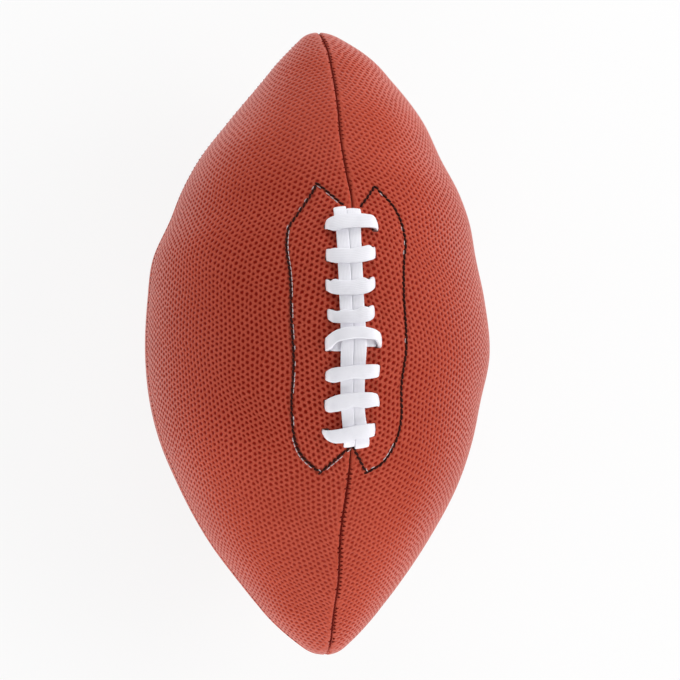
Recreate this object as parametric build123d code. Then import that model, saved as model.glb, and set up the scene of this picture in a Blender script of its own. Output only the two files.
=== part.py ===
"""American football: four sewn leather panels round a rubber bladder, closed by one lace.

The origin is the centre of the ball. +Y runs along the ball from nose to nose, +Z points up
through the lace, and +X lies to the right of the lace. All sizes are in millimetres.
A depth is measured inwards from the surface of the leather, square to the surface.
"""

from build123d import *
import os
from math import asin, atan, atan2, cos, degrees, floor, hypot, sin, sqrt

# Ball
BALL_LENGTH = 280.0
BALL_DIAMETER = 154.0
NOSE_RADIUS = 15.0

# Leather panels, sewn inside out and turned
LEATHER = 2.4
SEAM_GAP = 0.2
SEAM_EDGE_DEPTH = 4.4
SEAM_EDGE_THICKNESS = 1.6
SEAM_EDGE_NOSE_GAP = 22.0
GROOVE_HALF_WIDTH = 1.8
GROOVE_DEPTH = 1.5
GROOVE_NOSE_GAP = 6.0
QUARTER_TURN = 90

# Fabric lining behind each panel
LINING = 1.5

# Thread in the seams
SEAM_THREAD_RADIUS = 0.35
SEAM_THREAD_NOSE_GAP = 9.0

# Lace
LACE_WIDTH = 5.6
LACE_THICKNESS = 1.8
LACE_BEND_RADIUS = 1.2
CROSSINGS = 8
HOLE_PITCH = 12.8
HOLE_SPACING = 19.1
HOLE_CLEARANCE = 0.3
RUN_OVERHANG = 6.7
RUN_GAP = 0.2
KNEE_HEIGHT = 0.5
SHOULDER_REACH = 0.7

# Stays sewn under the lace holes
STAY_THICKNESS = 1.0
STAY_MARGIN = 3.0
STAY_HALF_WIDTH = 25.5
STAY_FLANK_HALF_LENGTH = 38.0
STAY_CORNER_OUT = 12.5
STAY_CORNER_RISE = 10.0
STAY_NECK_OUT = 4.9
STAY_NECK_RISE = 3.2

# Stitches that hold the stays
STITCH_PITCH = 3.0
STITCH_LENGTH = 2.5
STITCH_RADIUS = 0.3
BOBBIN_RADIUS = 0.2

# Tongue between the lace and the bladder
TONGUE_THICKNESS = 0.9
TONGUE_HALF_WIDTH = 13.0
TONGUE_OVERHANG = 8.0

# Bladder
BLADDER_WALL = 1.2
BLADDER_HOLLOW_SLOPE = 20.0

# Valve, in the middle of the right back panel
VALVE_TURN = 135
VALVE_NECK_RADIUS = 3.0
VALVE_RECESS = 0.8
VALVE_FLANGE_RADIUS = 9.0
VALVE_FLANGE_THICKNESS = 1.2
VALVE_STEM_RADIUS = 4.5
VALVE_LENGTH = 14.0
PLUG_RADIUS = 2.0
PLUG_HEAD_RADIUS = 3.0
PLUG_HEAD_LENGTH = 2.5
NEEDLE_RADIUS = 1.0

# Clearances and the overrun of a cut
BOND_GAP = 0.05
SEAT_GAP = 0.1
LAYER_GAP = 0.15
OVERRUN = 5.0

# Profile of the ball: one long side arc that meets a small nose arc at each end
half_length = BALL_LENGTH / 2
ball_radius = BALL_DIAMETER / 2
nose_centre = half_length - NOSE_RADIUS
side_radius = (ball_radius**2 + nose_centre**2 - NOSE_RADIUS**2) / (2 * (ball_radius - NOSE_RADIUS))
side_drop = side_radius - ball_radius
side_axis = Axis((0, 0, -side_drop), (1, 0, 0))
seam_half_gap = SEAM_GAP / 2
seam_edge_end = half_length - SEAM_EDGE_NOSE_GAP

# Layers of the cover, as depths
lining_top = LEATHER + BOND_GAP
lining_bottom = lining_top + LINING
stay_top = lining_bottom + BOND_GAP
stay_bottom = stay_top + STAY_THICKNESS
layer_edge = seam_half_gap + SEAM_EDGE_THICKNESS + SEAT_GAP

# Places along and across the lace
hole_out = HOLE_SPACING / 2
run_inner = RUN_GAP / 2
run_outer = run_inner + LACE_WIDTH
run_end = HOLE_PITCH * (CROSSINGS - 1) / 2 + RUN_OVERHANG
notch_end = run_end + LACE_THICKNESS / 2 + HOLE_CLEARANCE
neck_y = notch_end + STAY_NECK_RISE
lace_opening = run_end + STAY_CORNER_RISE


def side_angle(y):
    """Turn about the side arc's centre, in degrees, that takes the middle of the ball to this y."""
    return degrees(asin(y / side_radius))


def swing(shape, angle):
    """Carry a shape from the middle of the ball along the lace seam, by an angle towards +Y."""
    return shape.rotate(side_axis, -angle)


def side_ring(section, low, high):
    """Sweep a section, drawn at the middle of the ball, along the lace seam between two angles."""
    return revolve(swing(section, high), axis=side_axis, revolution_arc=high - low)


def section(*corners):
    """Face across the middle of the ball, with corners given as x and z."""
    return Plane.XZ * make_face(Polyline(*corners, close=True))


def on_surface(x, y, depth):
    """Point over x and y on the upper side of the ball, at a depth."""
    radius = sqrt((side_radius - depth) ** 2 - y**2) - side_drop
    return Vector(x, y, sqrt(radius**2 - x**2))


# Depth of the layer where the lace passes under the stays, clear of their curve across the ball
under_corner = hole_out + LACE_WIDTH
stay_end_radius = on_surface(0, run_end, stay_bottom).Z
under_drop = stay_end_radius - sqrt(stay_end_radius**2 - under_corner**2)
under_top = stay_bottom + under_drop + LAYER_GAP
under_middle = under_top + LACE_THICKNESS / 2
tongue_top = under_top + LACE_THICKNESS + LAYER_GAP
tongue_bottom = tongue_top + TONGUE_THICKNESS
bladder_depth = stay_bottom + 2 * BOBBIN_RADIUS + 2 * LAYER_GAP
bladder_hollow = tongue_bottom + LAYER_GAP
hole_depth = under_top + LACE_THICKNESS


def spindle(depth):
    """Whole ball as a solid, with its surface moved inwards by a depth."""
    nose = NOSE_RADIUS - depth
    meet_angle = atan2(nose_centre, side_drop)
    middle_angle = (meet_angle + atan2(1, 0)) / 2
    meet = (nose * cos(meet_angle), nose_centre + nose * sin(meet_angle))
    middle = (nose * cos(middle_angle), nose_centre + nose * sin(middle_angle))
    tip = (0, nose_centre + nose)
    side = ThreePointArc((meet[0], -meet[1]), (ball_radius - depth, 0), meet)
    nose_high = ThreePointArc(meet, middle, tip)
    long_axis = Line(tip, (0, -tip[1]))
    nose_low = ThreePointArc((0, -tip[1]), (middle[0], -middle[1]), (meet[0], -meet[1]))
    return revolve(make_face([side, nose_high, long_axis, nose_low]), axis=Axis.Y)


def upper_right(edge):
    """Block over the upper right quarter of the ball, kept an edge away from both seams."""
    block = Box(BALL_DIAMETER, 2 * BALL_LENGTH, BALL_DIAMETER, align=(Align.MIN, Align.CENTER, Align.MIN))
    return Pos(edge, 0, edge) * block


def seam_groove():
    """V along the lace seam, where the edges of two panels roll inwards."""
    spread = GROOVE_HALF_WIDTH * (GROOVE_DEPTH + OVERRUN) / GROOVE_DEPTH
    top = ball_radius + OVERRUN
    vee = section((0, ball_radius - GROOVE_DEPTH), (spread, top), (-spread, top))
    end = side_angle(half_length - GROOVE_NOSE_GAP)
    return side_ring(vee, -end, end)


def panel_blank(opening):
    """Upper right panel: a curved shell with turned-in edges, left flat along an opening in its upper seam."""
    shell = (spindle(0) - spindle(SEAM_EDGE_DEPTH)) & upper_right(seam_half_gap)
    hollow = upper_right(seam_half_gap + SEAM_EDGE_THICKNESS)
    nose_block = Box(BALL_DIAMETER, BALL_LENGTH, BALL_DIAMETER, align=(Align.CENTER, Align.MIN, Align.CENTER))
    hollow += Pos(0, seam_edge_end, 0) * nose_block
    hollow += mirror(Pos(0, seam_edge_end, 0) * nose_block, about=Plane.XZ)
    if opening:
        edge = 2 * layer_edge
        hollow += Box(edge, 2 * opening, BALL_DIAMETER, align=(Align.CENTER, Align.CENTER, Align.MIN))
    groove = seam_groove()
    return shell - (spindle(LEATHER) & hollow) - groove - groove.rotate(Axis.Y, QUARTER_TURN)


def lining_blank():
    """Upper right lining: a curved shell between the turned-in edges of its panel."""
    return (spindle(lining_top) - spindle(lining_bottom)) & upper_right(layer_edge)


def crossing_angles():
    """Places of the crossings along the lace seam, from the top of the ball to the bottom."""
    first = HOLE_PITCH * (CROSSINGS - 1) / 2
    return [side_angle(first - i * HOLE_PITCH) for i in range(CROSSINGS)]


def lace_holes():
    """Cutters for the right row of lace holes and for the notches where the lengthwise runs go in."""
    tall = 2 * (hole_depth + OVERRUN)
    thick = LACE_THICKNESS + 2 * HOLE_CLEARANCE
    hole = Pos(hole_out, 0, ball_radius) * Box(thick, LACE_WIDTH + 2 * HOLE_CLEARANCE, tall)
    cutters = [swing(hole, angle) for angle in crossing_angles()]
    reach = 2 * (run_outer + HOLE_CLEARANCE)
    notch = Pos(0, 0, ball_radius) * Box(reach, thick, tall)
    cutters += [swing(notch, sign * side_angle(run_end)) for sign in (-1, 1)]
    return cutters


def stay_stitch_line():
    """Right half of the stitch line round the lace: neck, corner, flank, corner, neck."""
    corner_y = run_end + STAY_CORNER_RISE
    neck = (STAY_NECK_OUT, neck_y)
    corner = (STAY_CORNER_OUT, corner_y)
    flank = (STAY_HALF_WIDTH, STAY_FLANK_HALF_LENGTH)
    top = Line(neck, corner)
    curve = TangentArc(flank, corner, tangent=(0, 1))
    side = Line(flank, (flank[0], -flank[1]))
    half = [top.edge(), curve.edge()]
    other_half = [mirror(edge, about=Plane.XZ).edge() for edge in half]
    return Wire([*half, side.edge(), *other_half])


def stay():
    """Right stay: a pad under the lining that follows the stitch line and carries the lace holes."""
    closing = Line((STAY_NECK_OUT, neck_y), (STAY_NECK_OUT, -neck_y))
    outline = offset(make_face([*stay_stitch_line().edges(), closing]), STAY_MARGIN)
    inner_strip = Pos(layer_edge, 0) * Rectangle(STAY_NECK_OUT, 2 * neck_y, align=(Align.MIN, Align.CENTER))
    prism = extrude(outline + inner_strip, BALL_DIAMETER)
    pad = (spindle(stay_top) - spindle(stay_bottom)) & prism & upper_right(layer_edge)
    return pad - lace_holes()


def stitches(radius, depth, start_share):
    """Row of short thread pieces along the right stitch line, with their centres at a depth."""
    line = stay_stitch_line()
    count = floor(line.length / STITCH_PITCH)
    row = []
    for i in range(count):
        start = (i + start_share) * line.length / count
        a = line.position_at(start, position_mode=PositionMode.LENGTH)
        b = line.position_at(start + STITCH_LENGTH, position_mode=PositionMode.LENGTH)
        low = on_surface(a.X, a.Y, depth)
        high = on_surface(b.X, b.Y, depth)
        place = Plane(origin=low, z_dir=high - low)
        upright = (Align.CENTER, Align.CENTER, Align.MIN)
        row.append(place * Cylinder(radius, (high - low).length, align=upright))
    return Compound(children=row)


def seam_thread(low_y, high_y, turn):
    """Thread in the groove of one seam, between two places along it."""
    half_angle = atan(GROOVE_HALF_WIDTH / GROOVE_DEPTH)
    height = ball_radius - GROOVE_DEPTH + (SEAM_THREAD_RADIUS + SEAT_GAP) / sin(half_angle)
    strand = Plane.XZ * Pos(0, height) * Circle(SEAM_THREAD_RADIUS)
    return side_ring(strand, side_angle(low_y), side_angle(high_y)).rotate(Axis.Y, turn)


def crossing():
    """One crossing of the lace: out of the left hole, over the two runs and into the right hole."""
    bottom = ball_radius - under_middle
    knee = ball_radius + KNEE_HEIGHT
    top = ball_radius + 2 * SEAT_GAP + LACE_THICKNESS * 3 / 2
    shoulder = run_outer + SHOULDER_REACH
    right = [(shoulder, top), (hole_out, knee), (hole_out, bottom)]
    left = [(-x, z) for x, z in reversed(right)]
    route = FilletPolyline(*left, *right, radius=LACE_BEND_RADIUS)
    ribbon = trace(route, LACE_THICKNESS)
    return extrude(Plane.XZ * ribbon, LACE_WIDTH / 2, both=True)


def under_strip(start, end):
    """Flat stretch of the lace under the stays, between two places given as x and y."""
    run = (end[0] - start[0], end[1] - start[1])
    length = hypot(*run) + LACE_THICKNESS
    turn = degrees(atan2(run[1], run[0]))
    strip = Rot(0, 0, turn) * Box(length, LACE_WIDTH, LACE_THICKNESS)
    middle_x = (start[0] + end[0]) / 2
    middle_y = (start[1] + end[1]) / 2
    return swing(Pos(middle_x, 0, ball_radius - under_middle) * strip, side_angle(middle_y))


def run_leg(side, end, depth):
    """End of a lengthwise run, turned down through its notch to a depth."""
    top = ball_radius + SEAT_GAP + LACE_THICKNESS
    height = top - (ball_radius - depth)
    leg = Box(LACE_WIDTH, LACE_THICKNESS, height, align=(Align.CENTER, Align.CENTER, Align.MAX))
    middle = side * (run_inner + LACE_WIDTH / 2)
    return swing(Pos(middle, 0, top) * leg, end * side_angle(run_end))


def lace():
    """The whole lace: down the left run, up the right run, then over and under from hole to hole."""
    low = ball_radius + SEAT_GAP
    high = low + LACE_THICKNESS
    reach = side_angle(run_end)
    run_middle = run_inner + LACE_WIDTH / 2
    first_y = HOLE_PITCH * (CROSSINGS - 1) / 2
    pieces = []
    for side in (-1, 1):
        inner = side * run_inner
        outer = side * run_outer
        run = section((inner, low), (outer, low), (outer, high), (inner, high))
        pieces.append(side_ring(run, -reach, reach))
        pieces.append(run_leg(side, -1, under_middle))
    pieces.append(run_leg(1, 1, under_middle))
    pieces.append(run_leg(-1, 1, stay_bottom))
    pieces.append(under_strip((-run_middle, -run_end), (run_middle, -run_end)))
    pieces.append(under_strip((run_middle, run_end), (-hole_out, first_y)))
    pieces += [swing(crossing(), angle) for angle in crossing_angles()]
    for i in range(CROSSINGS - 1):
        y = first_y - i * HOLE_PITCH
        pieces.append(under_strip((hole_out, y), (-hole_out, y - HOLE_PITCH)))
    return pieces[0] + pieces[1:]


def tongue():
    """Thin flap that keeps the underside of the lace off the bladder."""
    low = ball_radius - tongue_bottom
    high = ball_radius - tongue_top
    wide = TONGUE_HALF_WIDTH
    strip = section((-wide, low), (wide, low), (wide, high), (-wide, high))
    end = side_angle(run_end + TONGUE_OVERHANG)
    return side_ring(strip, -end, end)


def bladder_body(depth, hollow):
    """Solid bladder shape, pressed in under the lace down to a hollow depth."""
    flat_end = run_end + TONGUE_OVERHANG + LAYER_GAP
    slope_end = flat_end + BLADDER_HOLLOW_SLOPE
    flat = on_surface(0, flat_end, hollow)
    slope = on_surface(0, slope_end, 0)
    floor_arc = ThreePointArc((-flat.Y, flat.Z), (0, ball_radius - hollow), (flat.Y, flat.Z))
    top = ball_radius + OVERRUN
    rim = Polyline(
        (flat.Y, flat.Z), (slope.Y, slope.Z), (slope.Y, top), (-slope.Y, top), (-slope.Y, slope.Z), (-flat.Y, flat.Z)
    )
    hollow_face = Plane.YZ * make_face([floor_arc, *rim.edges()])
    return spindle(depth) - extrude(hollow_face, ball_radius, both=True)


def valve_place(shape):
    """Turn a shape drawn on the upward axis to the valve's place."""
    return shape.rotate(Axis.Y, VALVE_TURN)


def upright_rod(radius, low, high):
    """Rod on the upward axis between two distances from the ball's centre."""
    rod = Cylinder(radius, high - low, align=(Align.CENTER, Align.CENTER, Align.MIN))
    return Pos(0, 0, low) * rod


valve_mouth = ball_radius - VALVE_RECESS
valve_end = valve_mouth - VALVE_LENGTH
valve_hole = valve_place(upright_rod(VALVE_NECK_RADIUS + SEAT_GAP, valve_end, ball_radius + OVERRUN))


def bladder():
    """Rubber bladder with the hole that its valve is bonded into."""
    outer = bladder_body(bladder_depth, bladder_hollow)
    inner = bladder_body(bladder_depth + BLADDER_WALL, bladder_hollow + BLADDER_WALL)
    return outer - inner - valve_hole


def valve_body():
    """Rubber valve: a neck out to the leather, a flange inside the bladder and a stem with a stepped bore."""
    wall = ball_radius - bladder_depth - BLADDER_WALL
    flange_top = sqrt(wall**2 - VALVE_FLANGE_RADIUS**2) - SEAT_GAP
    flange_bottom = flange_top - VALVE_FLANGE_THICKNESS
    body = upright_rod(VALVE_NECK_RADIUS, flange_bottom, valve_mouth)
    body += upright_rod(VALVE_FLANGE_RADIUS, flange_bottom, flange_top)
    body += upright_rod(VALVE_STEM_RADIUS, valve_end, flange_bottom)
    body -= upright_rod(PLUG_RADIUS + BOND_GAP, valve_end - OVERRUN, valve_mouth + OVERRUN)
    head_end = valve_end + PLUG_HEAD_LENGTH + BOND_GAP
    body -= upright_rod(PLUG_HEAD_RADIUS + BOND_GAP, valve_end - OVERRUN, head_end)
    return valve_place(body)


def valve_plug():
    """Self-sealing plug with a head at its inner end and the hole for the pump's needle."""
    plug = upright_rod(PLUG_RADIUS, valve_end, valve_mouth)
    plug += upright_rod(PLUG_HEAD_RADIUS, valve_end, valve_end + PLUG_HEAD_LENGTH)
    plug -= upright_rod(NEEDLE_RADIUS, valve_end - OVERRUN, valve_mouth + OVERRUN)
    return valve_place(plug)


def to_left(shape):
    """Left-hand copy of a right-hand piece."""
    return Compound(children=[solid.mirror(Plane.YZ) for solid in shape.solids()])


def to_back(shape):
    """Lower copy of an upper piece."""
    return Compound(children=[solid.mirror(Plane.XY) for solid in shape.solids()])


thread_end = half_length - SEAM_THREAD_NOSE_GAP
holes = lace_holes()
lace_panel = panel_blank(lace_opening) - holes
back_panel = to_back(panel_blank(0))
lining = lining_blank()
lace_lining = lining - holes
stay_right = stay()
top_stitches = stitches(STITCH_RADIUS, -STITCH_RADIUS - SEAT_GAP, start_share=0)
bobbin_stitches = stitches(BOBBIN_RADIUS, stay_bottom + BOBBIN_RADIUS + LAYER_GAP, start_share=0)

parts = {
    "panel_lace_right": lace_panel,
    "panel_lace_left": to_left(lace_panel),
    "panel_back_right": back_panel - valve_hole,
    "panel_back_left": to_left(back_panel),
    "lining_lace_right": lace_lining,
    "lining_lace_left": to_left(lace_lining),
    "lining_back_right": to_back(lining) - valve_hole,
    "lining_back_left": to_left(to_back(lining)),
    "stay_right": stay_right,
    "stay_left": to_left(stay_right),
    "stay_thread_right": top_stitches,
    "stay_thread_left": to_left(top_stitches),
    "stay_bobbin_right": bobbin_stitches,
    "stay_bobbin_left": to_left(bobbin_stitches),
    "seam_thread_lace_top": seam_thread(lace_opening, thread_end, 0),
    "seam_thread_lace_bottom": seam_thread(-thread_end, -lace_opening, 0),
    "seam_thread_right": seam_thread(-thread_end, thread_end, QUARTER_TURN),
    "seam_thread_back": seam_thread(-thread_end, thread_end, 2 * QUARTER_TURN),
    "seam_thread_left": seam_thread(-thread_end, thread_end, 3 * QUARTER_TURN),
    "lace": lace(),
    "lace_tongue": tongue(),
    "bladder": bladder(),
    "valve_body": valve_body(),
    "valve_plug": valve_plug(),
}

os.makedirs("parts", exist_ok=True)
for name, shape in parts.items():
    export_step(shape, f"parts/{name}.step")
    print(name, "volume", round(shape.volume, 1))
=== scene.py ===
# %% [markdown]
# # An american football, from hide to lace
# The ball is four pebbled leather panels round an air bladder, with a lace over the opening of one
# seam. Each piece is modelled here as it is made in the workshop: flat on the bench first, with x
# across a seam, y along it and z out of the leather, and then rolled onto the ball. Working flat keeps
# every step simple, because a straight row of stitches is straight while it is being made.

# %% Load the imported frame
import math

import bpy
import numpy as np
from mathutils import Matrix


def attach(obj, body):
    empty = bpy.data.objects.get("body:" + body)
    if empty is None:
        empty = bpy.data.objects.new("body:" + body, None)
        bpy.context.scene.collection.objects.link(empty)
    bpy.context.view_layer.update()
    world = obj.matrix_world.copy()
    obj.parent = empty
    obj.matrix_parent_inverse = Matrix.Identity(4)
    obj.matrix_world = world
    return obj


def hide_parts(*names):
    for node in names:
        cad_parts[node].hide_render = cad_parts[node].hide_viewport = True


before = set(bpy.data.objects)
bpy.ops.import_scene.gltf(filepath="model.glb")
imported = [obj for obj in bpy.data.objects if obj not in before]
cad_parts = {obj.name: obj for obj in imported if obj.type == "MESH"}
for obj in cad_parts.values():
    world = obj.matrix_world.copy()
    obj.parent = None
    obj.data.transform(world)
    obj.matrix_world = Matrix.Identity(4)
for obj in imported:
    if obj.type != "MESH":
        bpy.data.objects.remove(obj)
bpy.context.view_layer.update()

# %% [markdown]
# ## The side of the ball
# Seen from the side the ball is one long arc that ends in two small round noses. An ellipsoid would be
# too blunt, so the same two arcs as in the solids are used. The helper walks along this line from the
# middle of the ball: it takes a length along the leather and gives the place, the radius and the way
# out of the leather there. It takes whole arrays, so that a mesh is moved in one go.

# %% Arcs of the side
HALF_LENGTH = 0.140
GIRTH_RADIUS = 0.077
NOSE_RADIUS = 0.015
NOSE_CENTRE = HALF_LENGTH - NOSE_RADIUS
side_rise = GIRTH_RADIUS - NOSE_RADIUS
SIDE_DROP = (NOSE_CENTRE**2 - side_rise**2) / (2 * side_rise)
SIDE_RADIUS = SIDE_DROP + GIRTH_RADIUS
NOSE_START = math.atan2(NOSE_CENTRE, SIDE_DROP)
HALF_WALK = SIDE_RADIUS * NOSE_START + NOSE_RADIUS * (math.pi / 2 - NOSE_START)


def along_side(walk):
    """Place along the ball, radius, and the two parts of the outward direction, after a walk."""
    reach = np.abs(walk)
    on_nose = reach > SIDE_RADIUS * NOSE_START
    turn_on_nose = NOSE_START + (reach - SIDE_RADIUS * NOSE_START) / NOSE_RADIUS
    turn = np.minimum(np.where(on_nose, turn_on_nose, reach / SIDE_RADIUS), math.pi / 2)
    place = np.where(on_nose, NOSE_CENTRE + NOSE_RADIUS * np.sin(turn), SIDE_RADIUS * np.sin(turn))
    radius = np.where(on_nose, NOSE_RADIUS * np.cos(turn), SIDE_RADIUS * np.cos(turn) - SIDE_DROP)
    return np.sign(walk) * place, radius, np.sign(walk) * np.sin(turn), np.cos(turn)


def walk_to(place):
    """Length along the leather from the middle of the ball to a place along it, short of the noses."""
    return SIDE_RADIUS * np.arcsin(np.asarray(place) / SIDE_RADIUS)


print(f"side arc {SIDE_RADIUS:.4f} m, walk from middle to nose {HALF_WALK:.4f} m")

# %% [markdown]
# ## A used ball is not quite round
# Air pressure and use leave a leather ball a little bowed and fuller on one side. A few rows say how far
# the ball leans to the right, how much its radius grows, in millimetres, and how far it is twisted about
# its length, in degrees, at a place along it, and a smooth curve runs through them. Every piece gets the
# same lean as its last step, so nothing that lay on the leather comes away from it. A lattice modifier
# could do this too, but the rows can be read and changed one by one.

# %% Lean of the ball
LEAN_ROWS = (
    (-0.142, 3.6, 0.2, 9.0),
    (-0.126, 1.8, -1.4, 3.2),
    (-0.108, 1.2, -3.1, 2.0),
    (-0.090, 0.5, -3.0, 0.1),
    (-0.063, 0.3, -1.9, 0.8),
    (-0.045, -0.5, -1.1, 1.5),
    (-0.027, -0.9, -0.8, 0.9),
    (-0.009, 0.1, 0.2, 0.5),
    (0.018, -0.5, -0.5, 0.3),
    (0.036, -1.2, -0.6, 0.8),
    (0.054, 1.1, -1.2, 0.8),
    (0.066, 1.3, -1.2, -0.5),
    (0.081, 1.4, -2.0, -1.5),
    (0.099, 4.0, -1.9, -4.4),
    (0.117, 4.6, -1.4, -6.8),
    (0.130, 3.7, 0.5, -9.0),
    (0.142, -0.2, 0.1, -9.6),
)
# Near the noses the growth is shared out over at least this radius
CALM_RADIUS = 0.030


def smooth_through(x, knots, values):
    """Smooth curve through the knots, with the slope at each taken from its neighbours."""
    slopes = np.gradient(values, knots)
    right = np.clip(np.searchsorted(knots, x), 1, len(knots) - 1)
    left = right - 1
    span = knots[right] - knots[left]
    t = np.clip((x - knots[left]) / span, 0, 1)
    start = (1 + 2 * t) * (1 - t) ** 2 * values[left] + t * (1 - t) ** 2 * span * slopes[left]
    end = t**2 * (3 - 2 * t) * values[right] + t**2 * (t - 1) * span * slopes[right]
    return start + end


def lean(points):
    """Points of the round ball, moved to where they lie on the bowed one."""
    rows = np.array(LEAN_ROWS)
    place = points[:, 1]
    sideways = smooth_through(place, rows[:, 0], rows[:, 1]) / 1000
    fuller = smooth_through(place, rows[:, 0], rows[:, 2]) / 1000
    twist = np.radians(smooth_through(place, rows[:, 0], rows[:, 3]))
    grow = 1 + fuller / np.maximum(np.hypot(points[:, 0], points[:, 2]), CALM_RADIUS)
    x = points[:, 0] * np.cos(twist) + points[:, 2] * np.sin(twist)
    z = points[:, 2] * np.cos(twist) - points[:, 0] * np.sin(twist)
    return np.stack([x * grow + sideways, place, z * grow], axis=1)


print("lean rows:", len(LEAN_ROWS))

# %% [markdown]
# ## Bench tools
# Blender's operators act on whatever is selected, so the first tool selects exactly one object. The other
# two read and write the points of a mesh as one array, which is far quicker than point by point.

# %% One object and its points
def only(piece):
    """Select this object alone and make it the active one."""
    bpy.ops.object.select_all(action="DESELECT")
    piece.select_set(True)
    bpy.context.view_layer.objects.active = piece


def points_of(piece):
    """All points of a mesh as an array with one row each."""
    flat = np.empty(len(piece.data.vertices) * 3)
    piece.data.vertices.foreach_get("co", flat)
    return flat.reshape(-1, 3)


def put_points(piece, points):
    """Write the points of a mesh back."""
    piece.data.vertices.foreach_set("co", np.asarray(points).ravel())
    piece.data.update()


print("object tools ready")

# %% [markdown]
# In edit mode an operator works on the selected points, edges or faces. By hand they are clicked. Here a
# rule picks them by their place, and the select mode is set to match before the mesh is opened, because
# Blender takes over the selection of that mode only.

# %% Opening a mesh
SELECT_MODES = {
    "vertices": (True, False, False),
    "edges": (False, True, False),
    "polygons": (False, False, True),
}


def edit_picked(piece, kind, picked):
    """Open the mesh for editing with only these vertices, edges or polygons selected."""
    for part in SELECT_MODES:
        rows = getattr(piece.data, part)
        rows.foreach_set("select", np.asarray(picked, bool) if part == kind else np.zeros(len(rows), bool))
    only(piece)
    bpy.context.tool_settings.mesh_select_mode = SELECT_MODES[kind]
    bpy.ops.object.mode_set(mode="EDIT")


def edit_all(piece):
    """Open the mesh for editing with everything selected."""
    only(piece)
    bpy.ops.object.mode_set(mode="EDIT")
    bpy.ops.mesh.select_mode(type="VERT")
    bpy.ops.mesh.select_all(action="SELECT")


def done():
    """Close the mesh again."""
    bpy.ops.object.mode_set(mode="OBJECT")


print("edit mode tools ready:", list(SELECT_MODES))

# %% [markdown]
# A primitive is added at unit size and stretched, and each modifier is applied as soon as it is set, so
# that the next step always finds a plain mesh.

# %% Shaping
def fix_size(piece, size):
    """Stretch a unit primitive to its size and fix the result in its mesh."""
    piece.scale = size
    only(piece)
    bpy.ops.object.transform_apply(location=True, rotation=True, scale=True)


def modify(piece, kind, **settings):
    """Add a modifier, set it and apply it."""
    modifier = piece.modifiers.new(kind.lower(), kind)
    for name, value in settings.items():
        setattr(modifier, name, value)
    only(piece)
    bpy.ops.object.modifier_apply(modifier=modifier.name)


def join(pieces, name):
    """Make one object of several."""
    only(pieces[0])
    for piece in pieces:
        piece.select_set(True)
    bpy.ops.object.join()
    pieces[0].name = name
    pieces[0].data.name = name
    return pieces[0]


def tidy_normals(piece):
    """Turn all faces outwards."""
    edit_all(piece)
    bpy.ops.mesh.normals_make_consistent(inside=False)
    done()


def smooth(piece, angle):
    """Smooth shading, except over edges sharper than the angle in degrees."""
    only(piece)
    bpy.ops.object.shade_smooth_by_angle(angle=math.radians(angle))


print("shaping tools ready")

# %% [markdown]
# The last step is the same for every piece: it is rolled from the bench onto the ball. Its x becomes a turn
# about the ball's length, its y a walk along the side and its z a height over the leather. A Simple Deform
# modifier bends along one circle, but the girth of this ball changes along it, so the points are moved by
# the arcs of the side instead. The finished piece then gets its material, and the solids that it stands for
# are hidden.

# %% Rolling on and handing in
QUARTER = math.pi / 2
HALF_PANEL = QUARTER / 2


def roll_on(piece, turn):
    """Roll a flat piece onto the ball: x across a seam, y along it, z out. Turn is the seam's place."""
    flat = points_of(piece)
    place, radius, out_along, out_round = along_side(flat[:, 1])
    around = turn + np.clip(flat[:, 0] / np.maximum(radius, 1e-7), -HALF_PANEL, HALF_PANEL)
    reach = radius + out_round * flat[:, 2]
    ball = np.stack([reach * np.sin(around), place + out_along * flat[:, 2], reach * np.cos(around)], axis=1)
    put_points(piece, lean(ball))


def hand_in(piece, finish, slot, *nodes):
    """Give a finished piece its material, hang it under the root and hide the solids that it stands for."""
    piece.data.materials.clear()
    piece.data.materials.append(finish)
    piece.data.polygons.foreach_set("material_index", np.zeros(len(piece.data.polygons), np.int32))
    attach(piece, "root")
    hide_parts(*nodes)
    piece.data.calc_loop_triangles()
    print(f"{piece.name}: {len(piece.data.loop_triangles)} triangles")


print(f"a panel takes {math.degrees(2 * HALF_PANEL):.0f} degrees of the girth")

# %% [markdown]
# ## Writing shader maths
# A material is a chain of nodes, and even a short sum is a handful of them. One small class wraps the output
# of a node, so that a sum can be written as one: every + - or * adds a Math node. Its method add() makes
# any other node from the node's type, its settings and the values or wires of its sockets.

# %% Wires
class Wire:
    """An output of a shader node that can be used in sums."""

    def __init__(self, socket):
        self.socket = socket

    def add(self, kind, settings, sockets, output=0):
        """Any other node of the same material, with its settings made before its sockets are filled."""
        node = self.socket.id_data.nodes.new(kind)
        for name, value in settings.items():
            setattr(node, name, value)
        for name, value in sockets.items():
            self.plug(node.inputs[name], value)
        return Wire(node.outputs[output])

    def plug(self, target, value):
        """Link a wire to a socket, or set the socket's own value."""
        if isinstance(value, Wire):
            self.socket.id_data.links.new(value.socket, target)
        else:
            target.default_value = value

    def sum_node(self, operation, first, second):
        """A Math node of two values."""
        return self.add("ShaderNodeMath", {"operation": operation}, {0: first, 1: second})

    def __add__(self, other):
        return self.sum_node("ADD", self, other)

    def __radd__(self, other):
        return self.sum_node("ADD", other, self)

    def __sub__(self, other):
        return self.sum_node("SUBTRACT", self, other)

    def __rsub__(self, other):
        return self.sum_node("SUBTRACT", other, self)

    def __mul__(self, other):
        return self.sum_node("MULTIPLY", self, other)

    def __rmul__(self, other):
        return self.sum_node("MULTIPLY", other, self)


print("wires ready")

# %% [markdown]
# Every finish starts from Object coordinates, which are in metres, so the scale of a noise can be thought
# of as waves per metre of the real thing. The helpers are the few nodes that all finishes share.

# %% Finish helpers
def new_finish(name):
    """A new material: its Object coordinates as a wire, and its shader."""
    finish = bpy.data.materials.new(name)
    finish.use_nodes = True
    nodes = finish.node_tree.nodes
    coordinates = nodes.new("ShaderNodeTexCoord")
    return finish, Wire(coordinates.outputs["Object"]), nodes["Principled BSDF"]


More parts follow.
